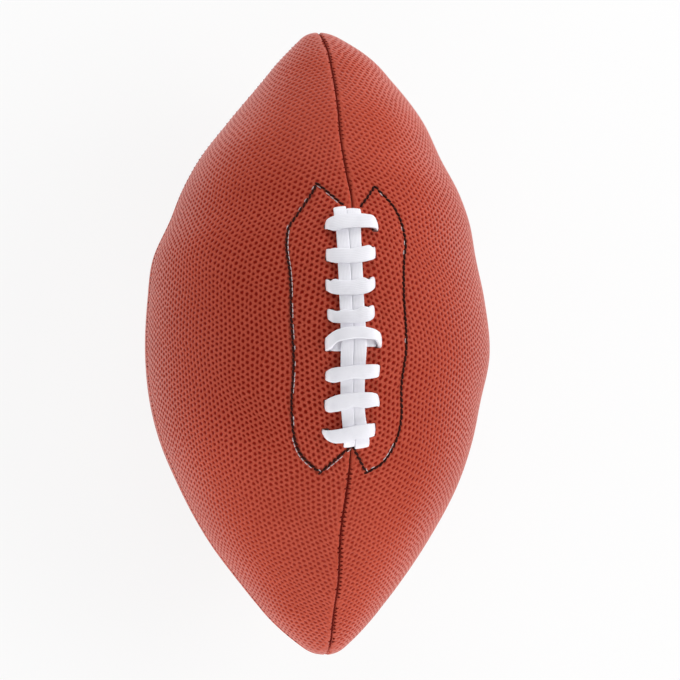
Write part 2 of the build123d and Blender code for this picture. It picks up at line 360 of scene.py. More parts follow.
def noise(place, scale, detail=2.0, roughness=0.5):
    """Soft random values from 0 to 1; scale is in waves per metre."""
    sockets = {"Vector": place, "Scale": scale, "Detail": detail, "Roughness": roughness}
    return place.add("ShaderNodeTexNoise", {}, sockets)


def mix(place, share, first, second):
    """A colour between two others."""
    return place.add("ShaderNodeMix", {"data_type": "RGBA"}, {0: share, 6: first, 7: second}, 2)


def steep(value, low, high):
    """Stretch the values between low and high over 0 to 1, smoothly."""
    settings = {"interpolation_type": "SMOOTHSTEP"}
    return value.add("ShaderNodeMapRange", settings, {"Value": value, "From Min": low, "From Max": high})


def bump(height, strength, distance):
    """A normal that follows a height."""
    return height.add("ShaderNodeBump", {}, {"Strength": strength, "Distance": distance, "Height": height})


def attribute(place, name):
    """A value that was stored on the points of the piece."""
    return place.add("ShaderNodeAttribute", {"attribute_name": name}, {}, 2)


print("finish helpers ready")

# %% [markdown]
# ## Leather
# Football leather is embossed with a pebble under heat, so the pits are smoother than the ground between
# them. The pits themselves are modelled, and each point keeps how deep it lies, from 0 to 1, as the attribute
# pit. The finish mixes a dark colour in by that value, which is partly the darker leather of the pits and
# partly painted shade of the hollows. It lets two browns drift into each other over a few centimetres, and
# adds a fine grain as bump. A pebble made only of bump would vanish at the rim of the ball, where it is seen
# from the side. The wax of the hide shows there as a pale haze, so a rough clear coat grows towards the rim
# by
# Layer Weight, a little less in the pits.

# %% Leather finish
GROUND_BROWN = (0.470, 0.076, 0.043, 1)
GROUND_PALE = (0.515, 0.089, 0.053, 1)
GRAIN_BROWN = (0.415, 0.057, 0.030, 1)
# Colour of the pits: partly the darker leather of the pits, partly painted shade of the hollows
PIT_BROWN_AND_SHADE = (0.22, 0.006, 0.0008, 1)
DRIFT_WAVES = 28.0
GRAIN_WAVES = 900.0


def leather_finish():
    """Two drifting browns with a grain, pits partly dark leather and partly painted shade, and a haze of wax
    at the rim.
    """
    finish, place, shader = new_finish("pebbled_leather")
    pit = attribute(place, "pit")
    drift = noise(place, DRIFT_WAVES, 3.0)
    grain = noise(place, GRAIN_WAVES, 3.0, 0.6)
    ground = mix(place, steep(drift, 0.35, 0.65), GROUND_BROWN, GROUND_PALE)
    speckle = mix(place, steep(grain, 0.3, 0.75), ground, GRAIN_BROWN)
    # The dark pit colour goes in by depth, as painted shade of the hollows on top of their own darker leather
    place.plug(shader.inputs["Base Color"], mix(place, pit, speckle, PIT_BROWN_AND_SHADE))
    place.plug(shader.inputs["Roughness"], 0.50 + 0.16 * grain - 0.10 * pit)
    rim = place.add("ShaderNodeLayerWeight", {}, {"Blend": 0.5}, 1)
    place.plug(shader.inputs["Coat Weight"], steep(rim, 0.30, 0.60) * (1.0 - 0.3 * pit))
    place.plug(shader.inputs["Normal"], bump(grain, 0.35, 0.0002))
    shader.inputs["Coat Roughness"].default_value = 0.40
    shader.inputs["Specular IOR Level"].default_value = 0.06
    return finish


leather = leather_finish()
print("made", leather.name)

# %% [markdown]
# ## White lace
# The lace is a vinyl strip with a faint rib along it. Its crosswise place comes from the UV map that a grid
# primitive already has, so the ribs follow each strip wherever it is laid. A noise of a few millimetres is
# the scuffing, which dulls the white and roughens it.

# %% Lace finish
# About nine ribs over the width of the strip, as the turn of a sine in radians
RIB_TURN = 56.0


def lace_finish():
    """White vinyl with ribs along it and a little scuffing."""
    finish, place, shader = new_finish("white_lace")
    map_place = place.add("ShaderNodeUVMap", {"uv_map": "UVMap"}, {})
    across = map_place.add("ShaderNodeSeparateXYZ", {}, {0: map_place}, 1)
    ribs = across.add("ShaderNodeMath", {"operation": "SINE"}, {0: across * RIB_TURN})
    scuff = noise(place, 160.0, 4.0, 0.65)
    clean = mix(place, steep(scuff, 0.42, 0.75), (0.835, 0.828, 0.880, 1), (0.785, 0.778, 0.832, 1))
    place.plug(shader.inputs["Base Color"], clean)
    place.plug(shader.inputs["Roughness"], 0.36 + 0.2 * scuff)
    place.plug(shader.inputs["Normal"], bump(ribs * 0.5 + scuff, 0.22, 0.0002))
    return finish


lace_white = lace_finish()
print("made", lace_white.name)

# %% [markdown]
# ## Threads
# The threads are waxed and tightly twisted. A wave texture laid at a slant is the twist and a fine noise is
# the fuzz. One finish in three colours serves the stay's stitches, the seams and the white lower thread.

# %% Thread finishes
TWIST_SCALE = 900.0
FUZZ_WAVES = 2600.0


def thread_finish(name, dark, pale):
    """Twisted thread between a dark and a pale colour."""
    finish, place, shader = new_finish(name)
    turned = place.add("ShaderNodeMapping", {}, {"Vector": place, "Rotation": (0.6, 0.3, 0.7)})
    settings = {"wave_type": "BANDS", "bands_direction": "DIAGONAL"}
    sockets = {"Vector": turned, "Scale": TWIST_SCALE, "Distortion": 1.5}
    twist = place.add("ShaderNodeTexWave", settings, sockets, 1)
    fuzz = noise(place, FUZZ_WAVES, 2.0)
    place.plug(shader.inputs["Base Color"], mix(place, 0.6 * twist + 0.4 * fuzz, dark, pale))
    place.plug(shader.inputs["Roughness"], 0.60 + 0.25 * fuzz)
    place.plug(shader.inputs["Normal"], bump(twist, 0.4, 0.0001))
    shader.inputs["Specular IOR Level"].default_value = 0.1
    return finish


dark_thread = thread_finish("dark_waxed_thread", (0.014, 0.002, 0.0015, 1), (0.034, 0.006, 0.005, 1))
# The seams' dark red is partly the thread and partly painted shade of the gap that the seam line lies in
seam_thread = thread_finish("seam_thread", (0.09, 0.002, 0.0005, 1), (0.16, 0.005, 0.0012, 1))
white_thread = thread_finish("white_thread", (0.58, 0.50, 0.52, 1), (0.80, 0.74, 0.76, 1))
print("made", dark_thread.name, seam_thread.name, white_thread.name)

# %% [markdown]
# ## Cotton, canvas and rubber
# The lining is woven cotton, the stay a canvas pad, and the tongue, bladder and valve are rubber. They
# hardly show, but a part that is taken apart should still be finished. Two crossed waves are a weave, and
# rubber gets a soft bloom and a fine grit.

# %% Woven and rubber finishes
def woven_finish(name, dark, pale, scale):
    """Plain weave; a wave texture has about three waves a metre for each unit of its scale."""
    finish, place, shader = new_finish(name)
    sockets = {"Vector": place, "Scale": scale, "Distortion": 0.6}
    warp = place.add("ShaderNodeTexWave", {"wave_type": "BANDS", "bands_direction": "X"}, sockets, 1)
    weft = place.add("ShaderNodeTexWave", {"wave_type": "BANDS", "bands_direction": "Y"}, sockets, 1)
    weave = warp * weft
    stain = noise(place, 40.0, 3.0)
    place.plug(shader.inputs["Base Color"], mix(place, 0.7 * weave + 0.3 * stain, dark, pale))
    place.plug(shader.inputs["Roughness"], 0.75 + 0.2 * stain)
    place.plug(shader.inputs["Normal"], bump(weave, 0.5, 0.0003))
    return finish


def rubber_finish(name, dark, pale, gloss):
    """Moulded rubber; gloss is the least roughness."""
    finish, place, shader = new_finish(name)
    bloom = noise(place, 120.0, 4.0, 0.6)
    grit = noise(place, 1800.0, 2.0)
    place.plug(shader.inputs["Base Color"], mix(place, steep(bloom, 0.35, 0.7), dark, pale))
    place.plug(shader.inputs["Roughness"], gloss + 0.2 * bloom)
    place.plug(shader.inputs["Normal"], bump(grit, 0.15, 0.0001))
    return finish


cotton = woven_finish("cotton_lining", (0.42, 0.34, 0.24, 1), (0.62, 0.54, 0.42, 1), 260.0)
canvas = woven_finish("canvas_stay", (0.30, 0.26, 0.20, 1), (0.46, 0.41, 0.33, 1), 180.0)
tongue_rubber = rubber_finish("tongue_rubber", (0.10, 0.06, 0.05, 1), (0.16, 0.10, 0.08, 1), 0.55)
bladder_rubber = rubber_finish("bladder_rubber", (0.020, 0.020, 0.022, 1), (0.050, 0.050, 0.052, 1), 0.45)
valve_rubber = rubber_finish("valve_rubber", (0.030, 0.030, 0.032, 1), (0.070, 0.070, 0.072, 1), 0.40)
plug_rubber = rubber_finish("plug_rubber", (0.045, 0.040, 0.038, 1), (0.090, 0.082, 0.078, 1), 0.50)
print("made woven and rubber finishes")

# %% [markdown]
# ## The lace's plan
# Eight crossings hold the lace down, and two strips run under them along the seam. On the real ball no
# crossing lies quite straight: each leans, sags or rises, and its ends are pulled to a corner where they
# dive into their holes. So the plan draws both edges of every crossing, in millimetres along the ball, at
# nine places across it, and the holes in the leather are taken from the same rows.

# %% Plan of the lace
LACE_THICK = 0.0017
EDGE_SHARES = (-1.0, -0.9, -0.75, -0.45, 0.0, 0.45, 0.75, 0.9, 1.0)
# Left end, right end, lift of the middle, then the upper and the lower edge at the nine places
CROSSINGS = (
    (-11.2, 12.1, 0.1, (45.3, 45.8, 46.3, 46.9, 47.2, 47.1, 46.3, 44.2, 42.5),
     (41.6, 40.7, 39.9, 40.5, 41.1, 41.5, 41.7, 41.8, 41.7)),
    (-10.3, 11.2, 0.0, (32.8, 32.3, 32.4, 32.2, 32.2, 33.3, 33.9, 33.1, 34.4),
     (27.6, 26.8, 26.2, 26.1, 26.1, 26.7, 27.6, 28.4, 29.6)),
    (-11.0, 10.3, 0.0, (19.8, 18.6, 19.2, 18.6, 18.8, 20.1, 19.5, 20.8, 20.8),
     (14.9, 13.7, 13.0, 12.7, 12.7, 13.2, 14.4, 15.6, 16.6)),
    (-10.9, 9.2, 0.1, (7.0, 6.5, 5.8, 6.4, 6.3, 7.9, 7.8, 8.7, 8.6),
     (2.6, 1.4, 1.0, 0.8, 0.9, 1.5, 2.3, 3.4, 4.6)),
    (-12.2, 11.6, 2.5, (-5.0, -3.9, -2.6, -1.3, -0.7, -1.1, -2.1, -3.2, -5.2),
     (-10.7, -9.9, -7.8, -6.3, -5.5, -5.7, -6.1, -7.8, -8.9)),
    (-11.5, 11.6, 0.2, (-19.2, -18.1, -17.5, -17.1, -16.4, -16.0, -15.9, -16.0, -16.4),
     (-22.8, -23.4, -23.6, -22.9, -21.8, -21.9, -21.5, -21.2, -20.9)),
    (-11.6, 12.2, 0.2, (-31.2, -30.2, -29.2, -28.1, -27.5, -27.3, -27.6, -28.5, -31.0),
     (-35.5, -35.9, -35.6, -34.9, -33.3, -33.7, -33.1, -33.0, -33.4)),
    (-13.0, 10.0, 0.1, (-43.6, -43.3, -43.0, -42.3, -41.0, -40.4, -40.2, -40.2, -40.6),
     (-44.6, -46.6, -47.8, -48.1, -46.6, -46.0, -45.6, -45.4, -45.2)),
)
# A second strip lies flat under the runs and the fifth crossing
LOWER_STRIP = (
    -10.2, 9.6, -2.6, (-5.0, -4.9, -4.8, -4.7, -4.5, -4.1, -3.7, -3.5, -3.4),
    (-10.5, -10.7, -10.7, -10.5, -9.7, -8.8, -8.6, -8.6, -8.4),
)
# Place along the ball, then middle and width of the left run and of the right run
RUN_ROWS = (
    (-52.0, -1.0, 4.6, 4.5, 6.0),
    (-47.2, -1.6, 4.8, 4.0, 6.0),
    (-38.2, -2.2, 5.2, 2.85, 4.9),
    (-25.8, -2.5, 5.2, 2.55, 5.0),
    (-12.2, -3.35, 5.1, 1.95, 5.3),
    (9.5, -3.15, 5.2, 2.0, 5.0),
    (22.6, -3.05, 5.2, 2.1, 5.0),
    (36.4, -3.25, 5.2, 1.95, 5.0),
    (44.3, -4.5, 5.2, 0.9, 5.5),
    (48.2, -5.5, 5.3, 0.3, 6.1),
    (52.0, -5.8, 5.3, 0.2, 6.1),
)
# Lower end and its slant, upper end and its slant, of the left (-1) and the right (1) run
RUN_ENDS = {-1: (-49.6, 0.15, 50.5, 0.17), 1: (-49.9, 0.20, 49.9, 0.0)}
# A hole lies inward of its crossing's end, and is longer than the strip is wide there, in millimetres
HOLE_INWARD = 1.3
HOLE_SPARE = 0.4
HOLE_LEAST = 2.6


def hole_places(side):
    """Place across, place along and length of each lace hole on the right (1) or left (-1)."""
    places = []
    for left, right, lift, upper, lower in CROSSINGS:
        end = right if side > 0 else left
        high = upper[-1] if side > 0 else upper[0]
        low = lower[-1] if side > 0 else lower[0]
        middle = float(walk_to((high + low) / 2000))
        length = max(high - low + HOLE_SPARE, HOLE_LEAST) / 1000
        places.append(((end - HOLE_INWARD * side) / 1000, middle, length))
    return places


print("holes on the right:", [round(along * 1000, 1) for across, along, length in hole_places(1)])

# %% [markdown]
# ## The stay's stitch line
# A dark thread holds a pad under the lace. It runs out from each end of the lace to a corner, round to
# the flank, and straight along it. The line is drawn in plan, as seen from above the lace, and then laid
# flat. The leather is pulled down a little along it, so the panels need the line as well as the thread.

# %% Stitch line in plan
# Across and along, in millimetres: neck, corner, then down the flank to the other corner and neck
STAY_LINES = {
    1: (
        (3.4, 52.0), (11.7, 61.6), (20.7, 50.3), (24.7, 41.4), (25.8, 36.0), (25.0, 31.0), (23.9, 20.0),
        (23.4, 3.0), (23.4, -8.0), (22.6, -22.0), (22.5, -39.0), (19.7, -49.5), (15.0, -57.0), (7.8, -61.3),
        (0.5, -50.2),
    ),
    -1: (
        (4.0, 52.4), (13.8, 62.2), (23.4, 48.3), (26.1, 43.0), (26.6, 36.0), (25.6, 22.0), (25.8, 0.0),
        (24.8, -20.0), (25.4, -36.0), (25.0, -44.0), (22.2, -52.5), (12.8, -61.5), (0.6, -50.6),
    ),
}


def stay_line(side, steps):
    """Points of one stitch line on the flat leather, evenly spaced from top to bottom."""
    plan = np.array(STAY_LINES[side]) / 1000
    flank = plan[1:-1]
    knots = np.concatenate([[0], np.cumsum(np.hypot(*np.diff(flank, axis=0).T))])
    fine = np.linspace(0, knots[-1], 200)
    curve = np.stack([smooth_through(fine, knots, flank[:, i]) for i in range(2)], axis=1)
    plan = np.vstack([plan[:1], curve, plan[-1:]])
    run = np.concatenate([[0], np.cumsum(np.hypot(*np.diff(plan, axis=0).T))])
    even = np.linspace(0, run[-1], steps)
    across = np.interp(even, run, plan[:, 0])
    along = walk_to(np.interp(even, run, plan[:, 1]))
    radius = along_side(along)[1]
    return np.stack([radius * np.arcsin(across / radius), along], axis=1)


def line_length(line):
    """Length of a line of short pieces."""
    return float(np.hypot(*np.diff(line, axis=0).T).sum())


for side in STAY_LINES:
    print(f"stitch line {side}: {line_length(stay_line(side, 300)) * 1000:.0f} mm")

# %% [markdown]
# ## Four leather panels
# In the workshop a hide is embossed first and the panels are then stamped out of it with a steel die.
# The same order works best here. The hide starts as a grid with every second column moved by half a step,
# so that its points lie as pebbles do. Then the points are jittered and whole rows wander, as they do on a
# stretched hide.

# %% Sheet of pebble places
PEBBLE = 0.00250
PEBBLE_COLUMN = PEBBLE * math.sqrt(3) / 2
PEBBLE_JITTER = 0.33 * PEBBLE
HIDE_COLUMNS = 78
HIDE_ROWS = 142
# Waves that move the pebbles sideways and lengthwise: height, metres for one radian along the other way and
# along their own, and how many times the seed is added
SIDE_WAVES = ((0.0013, 0.021, 0.05, 1), (0.0006, 0.0067, 0.011, 2))
LONG_WAVES = ((0.0012, 0.017, 0.04, 3), (0.0006, 0.0059, 0.013, 1))


def staggered_grid(name, seed):
    """Flat sheet of triangles whose points lie as pebbles do, a little uneven."""
    bpy.ops.mesh.primitive_grid_add(x_subdivisions=HIDE_COLUMNS, y_subdivisions=HIDE_ROWS, size=1)
    hide = bpy.context.object
    hide.name = name
    fix_size(hide, (HIDE_COLUMNS * PEBBLE_COLUMN, HIDE_ROWS * PEBBLE, 1))
    column = np.rint(points_of(hide)[:, 0] / PEBBLE_COLUMN).astype(int)
    edit_picked(hide, "vertices", column % 2 == 0)
    bpy.ops.transform.translate(value=(0, PEBBLE / 2, 0))
    bpy.ops.mesh.select_all(action="SELECT")
    bpy.ops.mesh.quads_convert_to_tris(quad_method="SHORTEST_DIAGONAL")
    bpy.ops.transform.vertex_random(offset=PEBBLE_JITTER, seed=seed)
    bpy.ops.transform.resize(value=(1, 1, 0))
    done()
    return hide


def drift_rows(hide, seed):
    """Let the rows wander: broad waves of about half a pebble and fine ones of a quarter."""
    flat = points_of(hide)
    u = flat[:, 0].copy()
    v = flat[:, 1].copy()
    for height, other, own, times in SIDE_WAVES:
        flat[:, 0] += height * np.sin(v / other + times * seed + u / own)
    for height, other, own, times in LONG_WAVES:
        flat[:, 1] += height * np.sin(u / other + times * seed + v / own)
    put_points(hide, flat)


print(f"pebbles {PEBBLE * 1000:.1f} mm apart")

# %% [markdown]
# Bevelling the points turns each into a small six-sided face, and two insets with depth press that face
# into a bowl. Pits from a displacement texture would need ten times the faces for the same rim. A coarse
# sheet underneath is bridged to the hide, which closes the slab, and the whole is turned on the bench, so
# that its rows will cross the panel at a slant.

# %% Embossed hide
PIT_SHARE = 43.0
PIT_SLOPE = 0.00025
PIT_DEPTH = 0.00032
PLAIN_EDGE = 2.5 * PEBBLE
LEATHER_THICK = 0.0024
SHEET_COLUMNS = 18
SHEET_ROWS = 48


def press_pits(hide):
    """Bevel every inner point into a small face and press it in."""
    for slot_name in ("ground", "pit"):
        hide.data.materials.append(bpy.data.materials.new(slot_name))
    flat = np.abs(points_of(hide))
    inner = (flat[:, 0] < flat[:, 0].max() - PLAIN_EDGE) & (flat[:, 1] < flat[:, 1].max() - PLAIN_EDGE)
    edit_picked(hide, "vertices", inner)
    bpy.ops.mesh.bevel(offset_type="PERCENT", offset_pct=PIT_SHARE, affect="VERTICES", material=1)
    done()
    pressed = np.zeros(len(hide.data.polygons), np.int32)
    hide.data.polygons.foreach_get("material_index", pressed)
    edit_picked(hide, "polygons", pressed == 1)
    for share in (0.55, 0.45):
        bpy.ops.mesh.inset(thickness=PIT_SLOPE, depth=-share * PIT_DEPTH, use_individual=True)
    done()
    return int((pressed == 1).sum())


def back_with_sheet(hide):
    """Close the hide with a coarse sheet underneath."""
    size = points_of(hide).max(axis=0) - points_of(hide).min(axis=0)
    parts = {"x_subdivisions": SHEET_COLUMNS, "y_subdivisions": SHEET_ROWS}
    bpy.ops.mesh.primitive_grid_add(size=1, location=(0, 0, -LEATHER_THICK), **parts)
    sheet = bpy.context.object
    fix_size(sheet, (size[0], size[1], 1))
    join([hide, sheet], hide.name)
    edit_picked(hide, "edges", np.zeros(len(hide.data.edges), bool))
    others = {"use_wire": False, "use_multi_face": False, "use_non_contiguous": False, "use_verts": False}
    bpy.ops.mesh.select_non_manifold(**others)
    bpy.ops.mesh.bridge_edge_loops()
    done()
    tidy_normals(hide)


def turn_hide(hide, degrees):
    """Turn the hide on the bench."""
    edit_all(hide)
    turn = math.radians(degrees)
    bpy.ops.transform.rotate(value=turn, orient_axis="Z", center_override=(0, 0, 0))
    done()


print(f"pits {PIT_DEPTH * 1000:.2f} mm deep in {LEATHER_THICK * 1000:.1f} mm of leather")

# %% [markdown]
# The die is a circle primitive pulled to the outline of one quarter of the ball: its half width is a
# quarter turn of the radius there, halved. The cutters for the lace holes are rounded boxes, and the one
# for the valve is a cylinder. A Boolean modifier cuts with them and leaves real edges, and its Manifold
# solver is quick enough for a hide of this many faces.

# %% Dies and punches
SEAM_GAP = 0.0006
VALVE_HOLE = 0.0032
PUNCH_SPARE = 0.0016
DIE_DEPTH = 0.02
DIE_STEPS = 160


def half_width(walk):
    """Half the width of a flat panel at a length along the leather."""
    return along_side(walk)[1] * HALF_PANEL - SEAM_GAP / 2


def panel_die():
    """Closed block with the outline of a flat panel."""
    walk = HALF_WALK * np.sin(np.linspace(-math.pi / 2, math.pi / 2, DIE_STEPS))
    wide = np.maximum(half_width(walk), 0.00002)
    outline = np.vstack([np.stack([wide, walk], axis=1), np.stack([-wide, walk], axis=1)[::-1]])
    bpy.ops.mesh.primitive_circle_add(vertices=len(outline), radius=1, fill_type="NGON")
    die = bpy.context.object
    put_points(die, np.column_stack([outline, np.full(len(outline), -DIE_DEPTH / 2)]))
    edit_all(die)
    bpy.ops.mesh.extrude_region_move(TRANSFORM_OT_translate={"value": (0, 0, DIE_DEPTH)})
    done()
    tidy_normals(die)
    return die


def lace_punch(across, along, length):
    """Rounded box that cuts one lace hole."""
    bpy.ops.mesh.primitive_cube_add(size=1, location=(across, along, 0))
    punch = bpy.context.object
    fix_size(punch, (LACE_THICK + PUNCH_SPARE, length, DIE_DEPTH))
    modify(punch, "BEVEL", width=0.0009, segments=3, limit_method="ANGLE", affect="EDGES")
    return punch


def valve_punch():
    """Round block that cuts the valve hole in the middle of a panel."""
    bpy.ops.mesh.primitive_cylinder_add(vertices=48, radius=VALVE_HOLE, depth=DIE_DEPTH)
    return bpy.context.object


def cut(piece, tool, operation):
    """Cut a piece with a closed block, and throw the block away."""
    modify(piece, "BOOLEAN", operation=operation, solver="MANIFOLD", object=tool)
    bpy.data.objects.remove(tool)


widest = 2 * float(half_width(np.array(0.0)))
print(f"panel is {widest * 1000:.0f} mm wide and {2 * HALF_WALK * 1000:.0f} mm long")

# %% [markdown]
# On the two lace panels the leather is drawn down along the stay's stitches and a little fuller inside
# them. So each point of a panel needs its distance to the stitch line, and on which side of it it lies.

# %% Distance to the stitch line
def distance_to_line(flat, line):
    """Shortest way from each flat point to a line of short pieces."""
    nearest = np.full(len(flat), 1.0)
    for start, end in zip(line[:-1], line[1:]):
        step = end - start
        share = np.clip(((flat - start) @ step) / (step @ step), 0, 1)
        nearest = np.minimum(nearest, np.hypot(*(flat - start - share[:, None] * step).T))
    return nearest


def inside_line(flat, line):
    """Whether a flat point lies between the stitch line and the lace seam."""
    top = int(np.argmax(line[:, 1]))
    bottom = int(np.argmin(line[:, 1]))
    flank = line[top:bottom + 1][::-1]
    widest = np.interp(flat[:, 1], flank[:, 1], flank[:, 0], left=0, right=0)
    return flat[:, 0] < widest


print("line tools ready")

# %% [markdown]
# A panel's edges roll down into the seams, where it was sewn inside out. The pebble is flattened there, and
# a little towards both ends, where the leather is stretched most. All of that is a small change of height
# over the flat panel, so it is added before the panel is rolled on. What is left of a pit's depth is also
# how dark it is painted.

# %% Relief of a panel
SEAM_ROLL = 0.0009
# How fast the edge turns to a slant along the panel, and how fast the relief dies away through the leather
SLANT_PLACE = 0.13
SLANT_SHARE = 0.8
TOP_FALL = 1.4
# The stitches pull the leather down, the pad inside them lifts it
STITCH_PULL = 0.00045
STITCH_REACH = 0.0010
PAD_RISE = 0.00030
PAD_REACH = 0.004
# Over what length the pits grow whole again from a seam or a nose, and what is left of them there
SEAM_PLAIN = 0.0003
SEAM_FADE = 0.0022
SEAM_LEFT = 0.15
NOSE_SPARE = 0.006
NOSE_FADE = 0.024
NOSE_LEFT = 0.6
STITCH_FADE = 0.6
STITCH_FADE_REACH = 0.0011
# Upper (1) or lower (-1) end, place along the panel beyond which the pits are shallowest, and what is left
END_FADES = ((1, 0.100, 0.75), (-1, 0.085, 0.80))
END_FADE = 0.045


def fading(flat, from_seam):
    """What is left of each pit's depth beside the seams, on the noses and towards both ends."""
    fade = np.clip((from_seam - SEAM_PLAIN) / SEAM_FADE, SEAM_LEFT, 1)
    fade *= np.clip((HALF_WALK - np.abs(flat[:, 1]) + NOSE_SPARE) / NOSE_FADE, NOSE_LEFT, 1)
    for end, place, left in END_FADES:
        fade *= left + (1 - left) * np.clip((place - end * flat[:, 1]) / END_FADE, 0, 1)
    return fade


def relief(flat, lace_side):
    """New heights of the panel's points, and how dark each lies in a pit."""
    # Towards the noses the edge runs at a slant, so the seam is nearer than it is straight across
    slant = np.cos(np.arctan2(np.abs(flat[:, 1]), SLANT_PLACE) * SLANT_SHARE)
    from_seam = np.maximum(half_width(flat[:, 1]) - np.abs(flat[:, 0]), 0) * slant
    on_top = np.clip(1 + flat[:, 2] / LEATHER_THICK * TOP_FALL, 0, 1)
    rolled = np.maximum(SEAM_ROLL - from_seam, 0)
    drop = SEAM_ROLL - np.sqrt(np.maximum(SEAM_ROLL**2 - rolled**2, 0))
    pit = np.where(flat[:, 2] > -PIT_DEPTH * 1.02, -flat[:, 2] / PIT_DEPTH, 0)
    fade = fading(flat, from_seam)
    height = flat[:, 2] - drop * on_top
    if lace_side:
        line = stay_line(lace_side, 80)
        near = np.column_stack([lace_side * flat[:, 0] + along_side(flat[:, 1])[1] * HALF_PANEL, flat[:, 1]])
        away = distance_to_line(near, line)
        fuller = np.where(inside_line(near, line), PAD_RISE * (1 - np.exp(-((away / PAD_REACH) ** 2))), 0)
        height += on_top * (fuller - STITCH_PULL * np.exp(-((away / STITCH_REACH) ** 2)))
        fade *= 1 - STITCH_FADE * np.exp(-((away / STITCH_FADE_REACH) ** 2))
    height += np.where(pit > 0, pit * PIT_DEPTH * (1 - fade), 0)
    return height, pit * fade


print(f"seam edges roll over {SEAM_ROLL * 1000:.1f} mm")

# %% [markdown]
# One panel goes through all these steps in order. Each has its own seed and slant, because no two panels
# are cut from the same place of a hide. The right back panel also gets the hole for the valve.

# %% The four panels in place
# Name, middle in quarters of a turn from the lace, seed, slant in degrees, side of the lace, valve
PANELS = (
    ("lace_right", 0.5, 3, -7, 1, False),
    ("back_right", 1.5, 7, 4, 0, True),
    ("back_left", 2.5, 11, 2, 0, False),
    ("lace_left", 3.5, 16, 3, -1, False),
)


def leather_panel(name, turn, seed, slant, lace_side, valve):
    """One finished leather panel, in its place on the ball."""
    panel = staggered_grid(name, seed)
    drift_rows(panel, seed)
    pits = press_pits(panel)
    back_with_sheet(panel)
    turn_hide(panel, slant)
    cut(panel, panel_die(), "INTERSECT")
    if lace_side:
        punches = []
        for across, along, length in hole_places(lace_side):
            seam = lace_side * float(along_side(np.array(along))[1]) * HALF_PANEL
            punches.append(lace_punch(across - seam, along, length))
        cut(panel, join(punches, "punches"), "DIFFERENCE")
    if valve:
        cut(panel, valve_punch(), "DIFFERENCE")
    flat = points_of(panel)
    flat[:, 2], dark = relief(flat, lace_side)
    panel.data.attributes.new("pit", "FLOAT", "POINT").data.foreach_set("value", dark)
    put_points(panel, flat)
    roll_on(panel, turn)
    smooth(panel, 70)
    print(f"{name}: pressed {pits} pits into the hide")
    return panel


for part, quarters, seed, slant, lace_side, valve in PANELS:
    panel = leather_panel(f"leather_{part}", quarters * QUARTER, seed, slant, lace_side, valve)
    hand_in(panel, leather, "leather", f"panel_{part}")

# %% [markdown]
# ## The lace
# One flat strip is threaded through all the holes. Here each visible stretch starts as a grid primitive
# laid along its own path, with a slight crown across it; Solidify gives it its thickness and Bevel rounds
# the edges. A curve with a flat profile would twist where the strip dives into its holes, while a grid
# stays as it is laid.

# %% Strips
def lay_strip(path, sideways, widths, rise):
    """Grid laid along a path of points; sideways is the way across at each, rise the crown of its middle."""
    steps = len(path)
    bpy.ops.mesh.primitive_grid_add(x_subdivisions=steps - 1, y_subdivisions=6, size=1)
    strip = bpy.context.object
    grid = points_of(strip)
    column = np.rint((grid[:, 0] + 0.5) * (steps - 1)).astype(int)
    across = grid[:, 1]
    out = np.cross(np.gradient(path, axis=0), sideways)
    out /= np.linalg.norm(out, axis=1)[:, None]
    crown = rise * (1 - (2 * across) ** 2)
    laid = path[column] + sideways[column] * (across * widths[column])[:, None] + out[column] * crown[:, None]
    put_points(strip, laid)
    return strip


def round_strip(strip):
    """Give a strip its thickness and soft edges."""
    modify(strip, "SOLIDIFY", thickness=LACE_THICK, offset=0.0, use_even_offset=True)
    modify(strip, "BEVEL", width=0.00045, segments=3, limit_method="ANGLE", angle_limit=math.radians(50))
    tidy_normals(strip)
    return strip


def even_path(corners, steps):
    """Smooth path through some corners, with its points evenly spaced."""
    corners = np.array(corners, float)
    knots = np.concatenate([[0], np.cumsum(np.linalg.norm(np.diff(corners, axis=0), axis=1))])
    fine = np.linspace(0, knots[-1], 400)
    line = np.stack([smooth_through(fine, knots, corners[:, i]) for i in range(3)], axis=1)
    run = np.concatenate([[0], np.cumsum(np.linalg.norm(np.diff(line, axis=0), axis=1))])
    even = np.linspace(0, run[-1], steps)
    return np.stack([np.interp(even, run, line[:, i]) for i in range(3)], axis=1)


print("strip tools ready")

# %% [markdown]
# A crossing comes up out of the left hole, lies over the two runs, and dives into the right hole. Its side
# view is drawn once, for half of it, as rows; the plan then says how far it reaches and where its edges lie.

# %% Crossings
UNDER = -0.0079
OVER = 0.00305
LACE_CROWN = 0.00022
CROSSING_WIDE = 10.15
CROSSING_REACH = 0.0112
FOLD = 0.8
# Below this height a crossing is in its hole
DIVE = -0.0006
# Way out in millimetres, height in metres, and how much of the crossing's lift it gets there
CROSSING_HALF = (
    (0.0, OVER, 1.0),
    (4.2, OVER - 0.00005, 1.0),
    (6.4, OVER - 0.0003, 0.9),
    (8.3, 0.0021, 0.65),
    (9.7, 0.0008, 0.35),
    (CROSSING_WIDE, DIVE, 0.0),
    (9.8, -0.0022, 0.0),
    (9.55, -0.0050, 0.0),
    (9.55, UNDER, 0.0),
)


